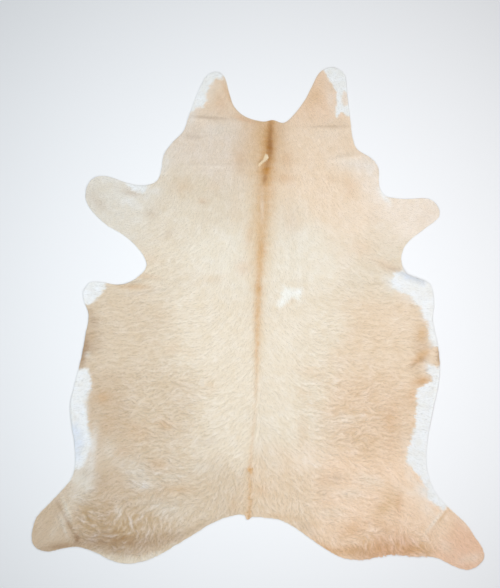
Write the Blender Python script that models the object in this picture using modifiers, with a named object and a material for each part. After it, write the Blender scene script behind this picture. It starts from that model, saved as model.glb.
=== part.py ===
"""A whole cowhide with the hair left on, laid out flat with the skin side down.

Metres, +Z up, the head end towards +Y. The skin rests on Z = 0, and the middle of its outline stands over
the origin. It is one cut skin: a sheet with the outline of the animal, the creases it was packed with, and the
puckers at its armpits and flanks.
"""

import math
from collections import namedtuple

import bpy
from mathutils import Vector, geometry

SHEET = 0.003  # tanned skin with the roots of its hair
OUTLINE_STEP = 0.020  # most space between points along the cut edge
FOLD_STEP = 0.028  # space between rows of points along a crease
FOLD_ROWS = (-1.0, -0.7, -0.35, 0.0, 0.35, 0.7, 1.0)  # points across a crease, in half widths
NEAREST = 0.005  # two points of the sheet are never closer than this

HAIR_CREAM = (0.83, 0.70, 0.53, 1.0)
HAIR_ROUGHNESS = 0.75

# The cut edge, clockwise from the middle of the neck, as landmarks on a smooth line. Each stretch is a part
# of the animal, and each landmark is x to the right and y towards the head.
Stretch = namedtuple("Stretch", "name landmarks")
OUTLINE = (
    Stretch("neck notch", ((0.023, 0.941), (0.072, 0.948), (0.122, 0.935), (0.166, 0.968))),
    Stretch("right ear, inner side", ((0.225, 1.045), (0.254, 1.101), (0.294, 1.174), (0.340, 1.200))),
    Stretch("right ear, outer side", ((0.383, 1.192), (0.416, 1.155), (0.425, 1.077), (0.441, 0.943))),
    Stretch("right of the neck", ((0.450, 0.869), (0.472, 0.811), (0.541, 0.765), (0.574, 0.720), (0.578, 0.643))),
    Stretch("right foreleg, front", ((0.596, 0.595), (0.633, 0.577), (0.713, 0.570), (0.806, 0.572))),
    Stretch("right foreleg, end", ((0.856, 0.540), (0.864, 0.487))),
    Stretch("right foreleg, back", ((0.794, 0.427), (0.724, 0.372), (0.691, 0.323))),
    Stretch("right armpit", ((0.686, 0.265), (0.713, 0.211), (0.779, 0.185), (0.825, 0.155))),
    Stretch("right flank", ((0.841, 0.069), (0.834, -0.003), (0.862, -0.151), (0.868, -0.276), (0.837, -0.429))),
    Stretch("right waist", ((0.810, -0.582), (0.804, -0.702), (0.832, -0.805))),
    Stretch("right hind leg, front", ((0.880, -0.876), (0.994, -0.983), (1.031, -1.038), (1.074, -1.106))),
    Stretch("right hind leg, end", ((1.077, -1.156), (1.014, -1.200), (0.947, -1.189), (0.864, -1.149))),
    Stretch("right haunch", ((0.799, -1.138), (0.735, -1.138), (0.669, -1.126), (0.591, -1.136), (0.497, -1.153))),
    Stretch("right of the rump", ((0.402, -1.143), (0.316, -1.097), (0.193, -1.011), (0.110, -0.965))),
    Stretch("tail root", ((0.028, -0.952), (-0.029, -0.949), (-0.042, -0.960), (-0.054, -0.957), (-0.063, -0.942))),
    Stretch("left of the rump", ((-0.101, -0.939), (-0.206, -0.971), (-0.375, -1.073), (-0.517, -1.150))),
    Stretch("left haunch", ((-0.631, -1.173), (-0.713, -1.152), (-0.780, -1.117), (-0.864, -1.093))),
    Stretch("left hind leg, end", ((-0.929, -1.099), (-1.005, -1.114), (-1.065, -1.094), (-1.081, -1.046))),
    Stretch("left hind leg, front", ((-1.061, -0.958), (-1.020, -0.910), (-0.932, -0.818), (-0.888, -0.759))),
    Stretch("left waist", ((-0.872, -0.687), (-0.880, -0.573), (-0.897, -0.426))),
    Stretch("left flank", ((-0.884, -0.348), (-0.852, -0.223), (-0.822, -0.069), (-0.810, 0.018))),
    Stretch("left flank knob", ((-0.831, 0.083), (-0.835, 0.126), (-0.802, 0.168), (-0.752, 0.174))),
    Stretch("left armpit", ((-0.673, 0.160), (-0.608, 0.175), (-0.543, 0.227), (-0.534, 0.271))),
    Stretch("left foreleg, back", ((-0.575, 0.337), (-0.642, 0.398), (-0.723, 0.447), (-0.795, 0.516))),
    Stretch("left foreleg, end", ((-0.824, 0.576), (-0.808, 0.647), (-0.759, 0.679), (-0.704, 0.674))),
    Stretch("left foreleg, front", ((-0.631, 0.649), (-0.555, 0.636), (-0.488, 0.653), (-0.463, 0.700))),
    Stretch("left of the neck", ((-0.448, 0.784), (-0.407, 0.842), (-0.354, 0.898), (-0.332, 0.958))),
    Stretch("left ear, outer side", ((-0.304, 1.035), (-0.263, 1.130), (-0.235, 1.166), (-0.194, 1.178))),
    Stretch("left ear, inner side", ((-0.161, 1.155), (-0.136, 1.071), (-0.113, 1.011), (-0.061, 0.965))),
)

# The creases: soft ridges where the skin stands off the surface. An end that lies past the cut edge lets its
# crease run out over the edge.
Fold = namedtuple("Fold", "name start end half_width height")
FOLDS = (
    Fold("left hind leg, main crease", (-0.948, -0.802), (-0.852, -1.051), 0.024, 0.008),
    Fold("left hind leg, outer crease", (-0.996, -0.869), (-0.900, -1.018), 0.020, 0.004),
    Fold("right hind leg, main crease", (0.919, -0.888), (0.794, -1.051), 0.024, 0.007),
    Fold("left haunch, low swell", (-0.718, -0.879), (-0.297, -0.836), 0.045, 0.004),
    Fold("rump, beside the tail", (-0.091, -0.817), (0.124, -0.831), 0.020, 0.003),
    Fold("right ear, base crease", (0.277, 0.932), (0.459, 0.928), 0.018, 0.005),
    Fold("left ear, base crease", (-0.364, 0.964), (-0.211, 0.954), 0.020, 0.004),
    Fold("right of the neck", (0.306, 0.748), (0.517, 0.791), 0.022, 0.003),
    Fold("left of the neck", (-0.393, 0.868), (-0.249, 0.849), 0.024, 0.004),
    Fold("neck, old packing crease", (-0.421, 0.734), (-0.024, 0.731), 0.018, 0.002),
    Fold("left armpit, upper wrinkle", (-0.737, 0.136), (-0.479, 0.193), 0.018, 0.006),
    Fold("left armpit, middle wrinkle", (-0.699, 0.097), (-0.335, 0.145), 0.018, 0.005),
    Fold("left armpit, lower wrinkle", (-0.689, 0.050), (-0.345, 0.088), 0.020, 0.003),
    Fold("right armpit, curled edge", (0.651, 0.251), (0.813, 0.164), 0.024, 0.006),
    Fold("right armpit, wrinkle", (0.430, 0.145), (0.670, 0.174), 0.018, 0.003),
    Fold("right flank, upper pucker", (0.689, -0.161), (0.880, -0.108), 0.020, 0.005),
    Fold("right flank, lower pucker", (0.698, -0.266), (0.880, -0.209), 0.020, 0.006),
    Fold("right flank, curled edge", (0.856, -0.300), (0.804, -0.582), 0.022, 0.004),
    Fold("left flank, upper pucker", (-0.843, 0.002), (-0.737, -0.022), 0.016, 0.004),
    Fold("left flank, middle pucker", (-0.852, -0.089), (-0.742, -0.070), 0.016, 0.004),
    Fold("left flank, lower pucker", (-0.866, -0.175), (-0.756, -0.156), 0.016, 0.004),
    Fold("left flank, curled edge", (-0.886, -0.333), (-0.881, -0.601), 0.022, 0.005),
)


def cut_edge():
    """Points along the cut edge, on a smooth closed line through the landmarks."""
    knots = [Vector(point) for stretch in OUTLINE for point in stretch.landmarks]
    ring = []
    for i, knot in enumerate(knots):
        before, after, beyond = knots[i - 1], knots[(i + 1) % len(knots)], knots[(i + 2) % len(knots)]
        span = (after - knot).length
        leaving = (after - before).normalized() * span / 3
        arriving = (beyond - knot).normalized() * span / 3
        steps = math.ceil(span / OUTLINE_STEP)
        ring += geometry.interpolate_bezier(knot, knot + leaving, after - arriving, after, steps + 1)[:-1]
    return ring


def middle_of(ring):
    """The middle of the box round the cut edge."""
    xs = [point.x for point in ring]
    ys = [point.y for point in ring]
    return Vector(((min(xs) + max(xs)) / 2, (min(ys) + max(ys)) / 2))


def lift_of(fold, point):
    """How high a crease holds the sheet at a point: a round ridge that dies out at both of its ends."""
    start, end = Vector(fold.start), Vector(fold.end)
    length = (end - start).length
    way = (end - start) / length
    along = (point - start).dot(way) / length
    across = abs((point - start).cross(way)) / fold.half_width
    if not 0 < along < 1 or across >= 1:
        return 0.0
    return fold.height * math.sin(math.pi * along) * math.cos(math.pi * across / 2) ** 2


def lift(point):
    return sum(lift_of(fold, point) for fold in FOLDS)


def inside(point, ring):
    """Whether a point lies within the cut edge and clear of it."""
    crossings = 0
    for a, b in zip(ring, ring[1:] + ring[:1]):
        nearest, share = geometry.intersect_point_line(point, a, b)
        nearest = a if share < 0 else b if share > 1 else nearest.to_2d()
        if (nearest - point).length < NEAREST:
            return False
        if (a.y > point.y) != (b.y > point.y):
            crossings += point.x < a.x + (point.y - a.y) * (b.x - a.x) / (b.y - a.y)
    return crossings % 2 == 1


def crease_points(ring):
    """Rows of points across each crease, which let the sheet bend there."""
    points = []
    for fold in FOLDS:
        start, end = Vector(fold.start), Vector(fold.end)
        side = (end - start).normalized().orthogonal() * fold.half_width
        rows = math.ceil((end - start).length / FOLD_STEP)
        for row in range(rows + 1):
            for across in FOLD_ROWS:
                point = start.lerp(end, row / rows) + side * across
                clear = all((point - other).length > NEAREST for other in points)
                if clear and inside(point, ring):
                    points.append(point)
    return points


def sheet_mesh():
    """The skin side as one open surface: flat, and lifted at the creases."""
    ring = cut_edge()
    middle = middle_of(ring)
    edges = [(i, (i + 1) % len(ring)) for i in range(len(ring))]
    within_edge = 1  # keep only the triangles that the cut edge encloses
    points, _, faces, *_ = geometry.delaunay_2d_cdt(ring + crease_points(ring), edges, [], within_edge, 1e-6)
    mesh = bpy.data.meshes.new("hide")
    mesh.from_pydata([(*(point - middle), lift(point)) for point in points], [], faces)
    return mesh


def hair_material():
    material = bpy.data.materials.new("cream hair")
    material.use_nodes = True
    shader = material.node_tree.nodes["Principled BSDF"]
    shader.inputs["Base Color"].default_value = HAIR_CREAM
    shader.inputs["Roughness"].default_value = HAIR_ROUGHNESS
    shader.inputs["Metallic"].default_value = 0.0
    return material


def build_hide(collection):
    hide = bpy.data.objects.new("hide", sheet_mesh())
    hide.data.materials.append(hair_material())
    collection.objects.link(hide)
    thickness = hide.modifiers.new("thickness", "SOLIDIFY")
    thickness.thickness = SHEET
    thickness.offset = 1.0
    return hide


for leftover in list(bpy.data.objects):
    bpy.data.objects.remove(leftover)
cowhide = bpy.data.collections.new("cowhide")
bpy.context.scene.collection.children.link(cowhide)
build_hide(cowhide)
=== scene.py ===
# One whole cowhide, tanned with the hair on and laid out flat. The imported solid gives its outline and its
# size. Here it gets its skin, its coat of hair with the animal's markings and lay, and its scar.
import math
from collections import namedtuple

import bmesh
import bpy
import numpy as np
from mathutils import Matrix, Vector, geometry


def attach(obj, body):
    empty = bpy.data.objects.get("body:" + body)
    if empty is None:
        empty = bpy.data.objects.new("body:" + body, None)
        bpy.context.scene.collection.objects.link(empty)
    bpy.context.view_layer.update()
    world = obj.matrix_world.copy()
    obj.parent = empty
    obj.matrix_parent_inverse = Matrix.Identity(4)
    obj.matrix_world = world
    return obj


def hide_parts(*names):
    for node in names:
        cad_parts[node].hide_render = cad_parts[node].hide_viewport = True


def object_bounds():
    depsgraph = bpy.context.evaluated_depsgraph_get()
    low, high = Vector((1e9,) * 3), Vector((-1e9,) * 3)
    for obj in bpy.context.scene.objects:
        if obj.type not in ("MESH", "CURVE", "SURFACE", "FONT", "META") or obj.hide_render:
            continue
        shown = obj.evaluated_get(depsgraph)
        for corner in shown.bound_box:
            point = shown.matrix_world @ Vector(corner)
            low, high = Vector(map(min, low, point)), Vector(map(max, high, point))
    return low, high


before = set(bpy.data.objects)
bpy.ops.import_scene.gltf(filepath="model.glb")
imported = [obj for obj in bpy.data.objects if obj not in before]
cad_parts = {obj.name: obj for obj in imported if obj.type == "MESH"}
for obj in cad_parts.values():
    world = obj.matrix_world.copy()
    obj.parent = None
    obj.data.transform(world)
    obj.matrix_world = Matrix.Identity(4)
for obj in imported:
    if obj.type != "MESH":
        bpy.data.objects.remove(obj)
cad_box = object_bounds()

# The cut
# One skin, cut round the outline of the animal with a knife after tanning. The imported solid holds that
# outline, so the cut edge is read from its underside and only made smoother.
EDGE_ROUNDS = 2  # each one puts a point between every two
SAME_PLACE = 1e-5  # points that are closer than this are one
UPRIGHT = 0.5  # a face whose normal rises or falls less than this belongs to the rim


def cut_edge_of(solid):
    """The lower edge of the solid's rim, as points in order round the hide."""
    merged = bmesh.new()
    merged.from_mesh(solid.data)
    bmesh.ops.remove_doubles(merged, verts=merged.verts, dist=SAME_PLACE)
    merged.normal_update()
    following = {}
    for edge in merged.edges:
        under = [loop for loop in edge.link_loops if loop.face.normal.z < -UPRIGHT]
        rim = [loop for loop in edge.link_loops if abs(loop.face.normal.z) < UPRIGHT]
        if len(under) == 1 and len(rim) == 1:
            following[under[0].vert] = under[0].link_loop_next.vert
    first = next(iter(following))
    ring = [first]
    while following[ring[-1]] is not first:
        ring.append(following[ring[-1]])
    places = np.array([point.co.xy for point in ring])
    merged.free()
    return places


def rounded(ring):
    """The ring with a point on its curve between every two."""
    before, after, beyond = np.roll(ring, 1, 0), np.roll(ring, -1, 0), np.roll(ring, -2, 0)
    between = (9 * (ring + after) - before - beyond) / 16
    return np.stack([ring, between], axis=1).reshape(-1, 2)


cut_edge = cut_edge_of(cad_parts["hide"])
for _ in range(EDGE_ROUNDS):
    cut_edge = rounded(cut_edge)

# The chart
# A flat map over the hide, on which slow things are worked out once: how far each place lies from the cut
# edge, and how the hair is combed. It is no piece; the skin and the hair read it.
CHART_PITCH = 0.004
CHART_MARGIN = 4 * CHART_PITCH
box_low, box_high = np.array(cad_box)[:, :2]
chart_low = box_low - CHART_MARGIN
chart_size = np.ceil((box_high + CHART_MARGIN - chart_low) / CHART_PITCH).astype(int)
chart_columns, chart_rows = np.meshgrid(*(np.arange(count) for count in chart_size))
chart_places = np.stack([chart_columns, chart_rows], axis=-1) * CHART_PITCH + chart_low


def read_chart(chart, places):
    """The chart's value at each place, blended between its four nearest cells."""
    just_inside = chart_size - 1.001
    at = np.clip((places - chart_low) / CHART_PITCH, 0, just_inside)
    cell = at.astype(int)
    share = at - cell
    if chart.ndim == 3:
        share = share[..., None]
        across, up = share[..., 0, :], share[..., 1, :]
    else:
        across, up = share[..., 0], share[..., 1]
    column, row = cell[..., 0], cell[..., 1]
    below = chart[row, column] * (1 - across) + chart[row, column + 1] * across
    above = chart[row + 1, column] * (1 - across) + chart[row + 1, column + 1] * across
    return below * (1 - up) + above * up


def distance_to(places, start, end):
    """How far each place lies from a straight line between two points."""
    way = end - start
    offset = places - start
    share = np.clip(offset @ way / (way @ way), 0, 1)
    return np.linalg.norm(offset - share[..., None] * way, axis=-1)


def eased(share):
    """A share held between 0 and 1, which starts and ends softly."""
    share = np.clip(share, 0, 1)
    return share * share * (3 - 2 * share)


CLOUD_CELLS = 512  # past this many the clouds repeat


def clouds(places, size, seed):
    """Soft blotches of about this size, from -1 to 1, the same each run."""
    lattice = np.random.default_rng(seed).uniform(-1, 1, (CLOUD_CELLS, CLOUD_CELLS))
    at = places / size + CLOUD_CELLS // 2
    cell = np.floor(at).astype(int)
    across, up = np.moveaxis(eased(at - cell), -1, 0)
    column, row = np.moveaxis(cell % (CLOUD_CELLS - 1), -1, 0)
    below = lattice[row, column] * (1 - across) + lattice[row, column + 1] * across
    above = lattice[row + 1, column] * (1 - across) + lattice[row + 1, column + 1] * across
    return below * (1 - up) + above * up


EDGE_REACH = 0.06  # deeper than this counts as this deep


def edge_chart(ring):
    """How far each cell of the chart lies inside the cut edge."""
    nearest = np.full(chart_places.shape[:2], EDGE_REACH)
    crossings = np.zeros(chart_places.shape[:2], int)
    for start, end in zip(ring, np.roll(ring, -1, 0)):
        low = np.minimum(start, end)
        high = np.maximum(start, end)
        first = np.floor((low - EDGE_REACH - chart_low) / CHART_PITCH).astype(int).clip(0)
        last = np.ceil((high + EDGE_REACH - chart_low) / CHART_PITCH).astype(int)
        near = (slice(first[1], last[1]), slice(first[0], last[0]))
        nearest[near] = np.minimum(nearest[near], distance_to(chart_places[near], start, end))
        bottom, top = np.ceil((np.array([low[1], high[1]]) - chart_low[1]) / CHART_PITCH).astype(int)
        for row in range(bottom, top):
            share = (chart_places[row, 0, 1] - start[1]) / (end[1] - start[1])
            crossings[row] += chart_places[row, :, 0] < start[0] + share * (end[0] - start[0])
    return np.where(crossings % 2 == 1, 1, -1) * nearest


edge_depth = edge_chart(cut_edge)
inward = np.stack(np.gradient(edge_depth, CHART_PITCH)[::-1], axis=-1)

# The coat's colours
# The hair is undyed: cream along the back, cooler on the neck and forelegs, browner towards the hind legs
# and warmer down the right. Milk-white patches break into it at the flanks and on the flaps of the head.
SHADES = {  # red, green and blue as they look in even light, of 255
    "milk": (236, 237, 237),
    # painted lighter than milk: painted light for whites that the lamps light less, on the head's flaps and
    # the right foreleg
    "lit_white": (243, 244, 243),
    "shell": (240, 228, 214),
    "cream": (234, 226, 211),
    "champagne": (232, 221, 203),
    "pebble": (228, 222, 211),
    "mauve": (231, 218, 203),
    "oat": (227, 215, 196),
    "blush": (239, 220, 197),
    "rose": (239, 214, 188),
    "sand": (220, 203, 180),
    "apricot": (229, 209, 184),
    "honey": (228, 204, 177),
    "fawn": (212, 191, 165),
    "copper": (234, 198, 169),
    "russet": (221, 183, 152),
    "bark": (198, 176, 151),
    "umber": (184, 158, 131),
    "sepia": (162, 126, 90),
    "ginger": (216, 180, 134),
    "amber": (206, 150, 76),
    "gold": (218, 178, 118),
    "straw": (240, 221, 188),
    "ivory": (240, 238, 231),
    # painted shade, bluish, on the left flank's curled white rim
    "rim_shade_blue": (226, 231, 238),
    # painted shadow, grey-blue, under the right armpit's curl
    "curl_shadow_grey": (212, 216, 222),
    "chestnut": (150, 96, 46),
}
Ground = namedtuple("Ground", "part shade x y reach")
GROUNDS = (
    Ground("notch of the neck", "honey", 0.03, 0.92, 0.07),
    Ground("left flap of the head", "blush", -0.19, 1.07, 0.12),
    Ground("right flap of the head", "rose", 0.29, 1.07, 0.12),
    Ground("left of the neck", "mauve", -0.25, 0.81, 0.16),
    Ground("right of the neck", "blush", 0.32, 0.81, 0.16),
    Ground("left shoulder", "oat", -0.33, 0.57, 0.18),
    Ground("right shoulder", "blush", 0.39, 0.57, 0.18),
    Ground("right shoulder's edge", "shell", 0.56, 0.62, 0.10),
    Ground("left foreleg", "pebble", -0.72, 0.54, 0.15),
    Ground("right foreleg", "shell", 0.75, 0.52, 0.15),
    Ground("left of the withers", "cream", -0.18, 0.33, 0.15),
    Ground("right of the withers", "cream", 0.20, 0.33, 0.16),
    Ground("left armpit", "oat", -0.50, 0.28, 0.13),
    Ground("right armpit", "oat", 0.55, 0.27, 0.14),
    Ground("left of the back", "champagne", -0.23, -0.05, 0.17),
    Ground("right of the back", "champagne", 0.20, -0.06, 0.15),
    Ground("left side", "sand", -0.61, -0.06, 0.17),
    Ground("right side", "apricot", 0.59, -0.08, 0.17),
    Ground("left flank's edge", "bark", -0.83, -0.10, 0.05),
    Ground("right flank's edge", "honey", 0.79, -0.12, 0.06),
    Ground("left belly", "fawn", -0.73, -0.43, 0.12),
    Ground("left loin", "sand", -0.47, -0.43, 0.15),
    Ground("left of the spine", "champagne", -0.17, -0.46, 0.15),
    Ground("right of the spine", "champagne", 0.18, -0.42, 0.15),
    Ground("right loin", "honey", 0.49, -0.45, 0.15),
    Ground("right belly", "honey", 0.71, -0.47, 0.10),
    Ground("left waist", "pebble", -0.83, -0.76, 0.06),
    Ground("left haunch", "fawn", -0.66, -0.88, 0.16),
    Ground("left of the rump", "sand", -0.25, -0.87, 0.14),
    Ground("right of the rump", "apricot", 0.15, -0.84, 0.14),
    Ground("right haunch", "rose", 0.50, -0.86, 0.17),
    Ground("right haunch's rim", "russet", 0.62, -1.12, 0.08),
    Ground("left haunch's rim", "bark", -0.72, -1.12, 0.08),
    Ground("left hind leg", "fawn", -0.99, -1.01, 0.13),
    Ground("right hind leg's root", "rose", 0.82, -0.98, 0.08),
    Ground("right hind leg", "copper", 1.02, -1.10, 0.11),
)
Patch = namedtuple("Patch", "part shade softness fray outline")
PATCHES = (
    Patch("left flap of the head", "lit_white", 0.010, 0.006, (
        (-0.171, 1.148), (-0.200, 1.145), (-0.229, 1.116), (-0.249, 1.076), (-0.246, 1.041),
        (-0.263, 1.006), (-0.293, 1.006), (-0.318, 0.986), (-0.335, 1.016), (-0.278, 1.150),
        (-0.249, 1.189), (-0.158, 1.179))),
    Patch("right flap of the head", "lit_white", 0.006, 0.004, (
        (0.306, 1.208), (0.340, 1.138), (0.371, 1.089), (0.376, 1.077), (0.374, 1.022), (0.369, 0.973),
        (0.380, 0.958), (0.389, 0.979), (0.401, 0.985), (0.425, 0.967), (0.459, 0.968), (0.450, 1.093),
        (0.426, 1.198), (0.354, 1.227))),
    Patch("spot within it", "shell", 0.008, 0.003, (
        (0.412, 1.088), (0.430, 1.075), (0.430, 1.026), (0.412, 1.016), (0.401, 1.031), (0.399, 1.064))),
    Patch("left foreleg's front", "milk", 0.012, 0.006, (
        (-0.631, 0.647), (-0.606, 0.622), (-0.575, 0.604), (-0.539, 0.604), (-0.527, 0.629), (-0.522, 0.662),
        (-0.579, 0.662), (-0.627, 0.672))),
    Patch("left flank's knob", "milk", 0.008, 0.006, (
        (-0.728, 0.188), (-0.726, 0.165), (-0.731, 0.137), (-0.757, 0.103), (-0.780, 0.083), (-0.814, 0.060),
        (-0.852, 0.069), (-0.862, 0.136), (-0.814, 0.193))),
    Patch("right flank, upper", "milk", 0.009, 0.006, (
        (0.689, 0.241), (0.698, 0.224), (0.647, 0.215), (0.634, 0.173), (0.638, 0.147), (0.677, 0.126),
        (0.720, 0.113), (0.737, 0.078), (0.771, 0.057), (0.788, 0.014), (0.813, -0.028), (0.813, -0.071),
        (0.822, -0.110), (0.831, -0.131), (0.890, -0.132), (0.871, 0.040), (0.852, 0.164), (0.775, 0.212))),
    Patch("right flank, lower", "milk", 0.008, 0.006, (
        (0.890, -0.218), (0.850, -0.232), (0.835, -0.223), (0.809, -0.228), (0.807, -0.257), (0.831, -0.270),
        (0.832, -0.297), (0.809, -0.313), (0.762, -0.338), (0.758, -0.376), (0.753, -0.445), (0.752, -0.488),
        (0.745, -0.531), (0.728, -0.595), (0.715, -0.638), (0.707, -0.680), (0.732, -0.715), (0.775, -0.757),
        (0.805, -0.806), (0.811, -0.861), (0.842, -0.891), (0.885, -0.916), (0.919, -0.893), (0.852, -0.774),
        (0.842, -0.630), (0.880, -0.415), (0.899, -0.295))),
    Patch("left flank", "milk", 0.010, 0.004, (
        (-0.881, -0.247), (-0.854, -0.245), (-0.810, -0.240), (-0.799, -0.284), (-0.795, -0.335),
        (-0.815, -0.364), (-0.824, -0.399), (-0.822, -0.444), (-0.810, -0.508), (-0.799, -0.564),
        (-0.797, -0.609), (-0.810, -0.655), (-0.833, -0.701), (-0.865, -0.724), (-0.910, -0.702),
        (-0.919, -0.486), (-0.919, -0.343))),
    Patch("spot beside the spine", "ivory", 0.016, 0.006, (
        (0.126, 0.161), (0.160, 0.143), (0.207, 0.143), (0.211, 0.117), (0.194, 0.092), (0.164, 0.096),
        (0.126, 0.062), (0.100, 0.050), (0.091, 0.062), (0.108, 0.101), (0.113, 0.139))),
    # painted shade along the left flank's curled rim
    Patch("left flank's rim in painted shade", "rim_shade_blue", 0.020, 0.004, (
        (-0.866, -0.500), (-0.840, -0.540), (-0.832, -0.610), (-0.850, -0.665), (-0.880, -0.700),
        (-0.910, -0.640), (-0.910, -0.520))),
    # painted shadow under the right armpit's curled edge
    Patch("painted shadow under the right armpit's curl", "curl_shadow_grey", 0.018, 0.003, (
        (0.668, 0.222), (0.700, 0.192), (0.757, 0.175), (0.790, 0.160), (0.800, 0.182), (0.709, 0.222))),
    Patch("left haunch's lip", "oat", 0.022, 0.004, (
        (-0.800, -1.112), (-0.756, -1.112), (-0.699, -1.130), (-0.637, -1.137), (-0.574, -1.136),
        (-0.517, -1.126), (-0.455, -1.107), (-0.393, -1.077), (-0.364, -1.085), (-0.421, -1.140),
        (-0.517, -1.200), (-0.637, -1.230), (-0.756, -1.200), (-0.814, -1.140))),
    Patch("old scar in the dark line", "straw", 0.003, 0.001, (
        (0.036, 0.789), (0.045, 0.782), (0.050, 0.772), (0.045, 0.758), (0.033, 0.751), (0.019, 0.739),
        (0.009, 0.729), (0.002, 0.731), (0.002, 0.741), (0.014, 0.751), (0.024, 0.760), (0.030, 0.775))),
)
MOTTLE = 0.035  # the ground shades wander this far


def linear(shade):
    """A shade as the light that it sends back."""
    share = np.array(SHADES[shade]) / 255
    return np.where(share <= 0.04045, share / 12.92, ((share + 0.055) / 1.055) ** 2.4)


def nearness(places, spot, reach):
    """How much a spot counts at each place: all of it there, and ever less past its reach."""
    away = ((places - (spot.x, spot.y)) ** 2).sum(-1) / reach**2
    return 1 / (1 + away) ** 3


def ground_colour(places):
    """The coat without its markings: every place mixes the shades that reach it."""
    moved = places + MOTTLE * np.stack([clouds(places, 0.09, 11), clouds(places, 0.09, 12)], axis=-1)
    total = np.zeros(places.shape[:-1] + (3,))
    weights = np.zeros(places.shape[:-1])
    for ground in GROUNDS:
        weight = nearness(moved, ground, ground.reach)
        total += weight[..., None] * linear(ground.shade)
        weights += weight
    return total / weights[..., None]


def depth_inside(places, ring):
    """How far each place lies inside a closed ring of points, and less than nothing outside it."""
    nearest = np.full(places.shape[:-1], np.inf)
    crossings = np.zeros(places.shape[:-1], int)
    for start, end in zip(ring, np.roll(ring, -1, 0)):
        nearest = np.minimum(nearest, distance_to(places, start, end))
        if start[1] != end[1]:
            spans = (start[1] > places[..., 1]) != (end[1] > places[..., 1])
            share = (places[..., 1] - start[1]) / (end[1] - start[1])
            crossings += spans & (places[..., 0] < start[0] + share * (end[0] - start[0]))
    return np.where(crossings % 2 == 1, 1, -1) * nearest


def patch_share(patch, places):
    """How much of the hair at each place belongs to a patch, whose border the hair mixes by its fray."""
    depth = depth_inside(places, np.array(patch.outline))
    fray = patch.fray * (clouds(places, 0.012, 21) + 0.6 * clouds(places, 0.005, 22))
    return eased(0.5 + (depth + fray) / (2 * patch.softness))


# The dark line down the back
# Darker hair grows along the spine: chestnut from the neck's notch to the withers, then a thin ginger line
# that thins out on the back and comes back at the tail. A warm band lies on both sides of it.
Station = namedtuple("Station", "y x half_width strength band_x band_half_width band_strength")
SPINE = (
    Station(0.959, 0.062, 0.018, 0.50, 0.048, 0.048, 0.35),
    Station(0.921, 0.060, 0.024, 0.62, 0.038, 0.072, 0.42),
    Station(0.877, 0.055, 0.029, 0.70, 0.033, 0.081, 0.46),
    Station(0.834, 0.051, 0.031, 0.76, 0.028, 0.096, 0.50),
    Station(0.796, 0.050, 0.031, 0.78, 0.024, 0.100, 0.50),
    Station(0.758, 0.046, 0.031, 0.82, 0.024, 0.105, 0.50),
    Station(0.720, 0.042, 0.034, 0.84, 0.024, 0.100, 0.46),
    Station(0.681, 0.036, 0.036, 0.58, 0.028, 0.096, 0.42),
    Station(0.648, 0.035, 0.036, 0.44, 0.033, 0.081, 0.42),
    Station(0.624, 0.036, 0.038, 0.36, 0.028, 0.067, 0.42),
    Station(0.566, 0.034, 0.036, 0.30, 0.022, 0.067, 0.48),
    Station(0.495, 0.026, 0.033, 0.29, 0.018, 0.067, 0.50),
    Station(0.432, 0.019, 0.029, 0.17, 0.005, 0.067, 0.50),
    Station(0.375, 0.016, 0.021, 0.34, 0.010, 0.060, 0.52),
    Station(0.327, 0.016, 0.020, 0.48, 0.012, 0.057, 0.54),
    Station(0.270, 0.007, 0.017, 0.38, 0.007, 0.052, 0.46),
    Station(0.207, 0.005, 0.015, 0.34, 0.003, 0.048, 0.36),
    Station(0.150, 0.001, 0.017, 0.62, -0.000, 0.038, 0.34),
    Station(0.097, -0.000, 0.015, 0.28, -0.000, 0.033, 0.32),
    Station(0.040, -0.001, 0.015, 0.42, -0.000, 0.033, 0.34),
    Station(-0.017, -0.003, 0.013, 0.32, -0.000, 0.029, 0.30),
    Station(-0.080, -0.004, 0.012, 0.34, -0.000, 0.029, 0.28),
    Station(-0.151, -0.005, 0.011, 0.34, -0.005, 0.024, 0.24),
    Station(-0.223, -0.007, 0.010, 0.20, -0.005, 0.019, 0.20),
    Station(-0.295, -0.008, 0.009, 0.18, -0.005, 0.019, 0.16),
    Station(-0.391, -0.010, 0.008, 0.08, -0.010, 0.019, 0.08),
    Station(-0.582, -0.027, 0.007, 0.14, -0.029, 0.019, 0.06),
    Station(-0.697, -0.036, 0.008, 0.22, -0.039, 0.019, 0.08),
    Station(-0.721, -0.038, 0.013, 0.70, -0.039, 0.024, 0.15),
    Station(-0.745, -0.038, 0.008, 0.24, -0.039, 0.019, 0.10),
    Station(-0.821, -0.037, 0.009, 0.30, -0.039, 0.029, 0.15),
    Station(-0.912, -0.040, 0.010, 0.34, -0.039, 0.029, 0.20),
    Station(-0.960, -0.047, 0.011, 0.50, -0.048, 0.029, 0.20),
)


def along_spine(places, column):
    """A column of the spine's table, read at the height of each place."""
    stations = sorted(SPINE)
    return np.interp(places[..., 1], [s.y for s in stations], [getattr(s, column) for s in stations])


def spine_share(places):
    """How much of the hair at each place is the dark hair of the line, and how much is its warm band's."""
    fringes = places * np.array((0.2, 1.0))  # they lie across the line
    wander = 0.003 * clouds(places, 0.02, 31) + 0.004 * clouds(fringes, 0.006, 32)
    away = (places[..., 0] - along_spine(places, "x") + wander) / along_spine(places, "half_width")
    line = np.exp(-(away**2)) * along_spine(places, "strength")
    away = (places[..., 0] - along_spine(places, "band_x") + wander) / along_spine(places, "band_half_width")
    band = np.exp(-(away**2)) * along_spine(places, "band_strength")
    return line * (1 + 0.3 * clouds(fringes, 0.008, 33)), band * (1 + 0.2 * clouds(places, 0.02, 34))
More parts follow.
